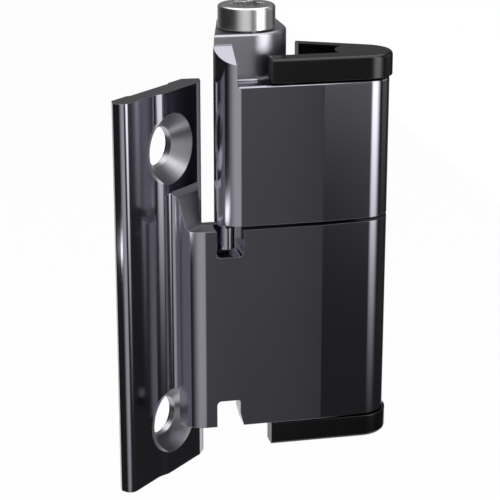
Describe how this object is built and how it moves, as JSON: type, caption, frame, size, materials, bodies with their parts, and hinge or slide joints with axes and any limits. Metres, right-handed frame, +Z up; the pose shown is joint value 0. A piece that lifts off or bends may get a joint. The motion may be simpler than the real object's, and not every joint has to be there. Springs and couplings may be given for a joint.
{
  "type": "cabinet door hinge",
  "caption": "Surface-mounted steel cabinet hinge: an angled countersunk frame plate, a shorter door leaf with a clamp screw, and black end caps on one hinge pin.",
  "frame": {"origin": "On the hinge axis, at the split between the door leaf and the frame leaf.", "axes": "Z up along the hinge pin; X to the right along the front walls' face, both leaves reaching to -X; Y back from the front face, into the cabinet."},
  "size_m": [0.0499, 0.0242, 0.0833],
  "materials": {
    "frame_steel": "dark polished nickel plate",
    "door_steel": "dark polished nickel plate",
    "pin_steel": "ground",
    "screw_steel": "bright turned",
    "top_cap_plastic": "satin black",
    "bottom_cap_plastic": "satin black"
  },
  "bodies": {
    "frame": {"frame_leaf": "frame_steel", "hinge_pin": "pin_steel", "bottom_cap": "bottom_cap_plastic"},
    "door": {"door_leaf": "door_steel", "clamp_screw": "screw_steel", "top_cap": "top_cap_plastic"}
  },
  "joints": [
    {"name": "door_swing", "type": "hinge", "parent": "frame", "child": "door", "pos_m": [0, 0, 0], "axis": [0, 0, 1], "range_deg": [0, 180]}
  ]
}
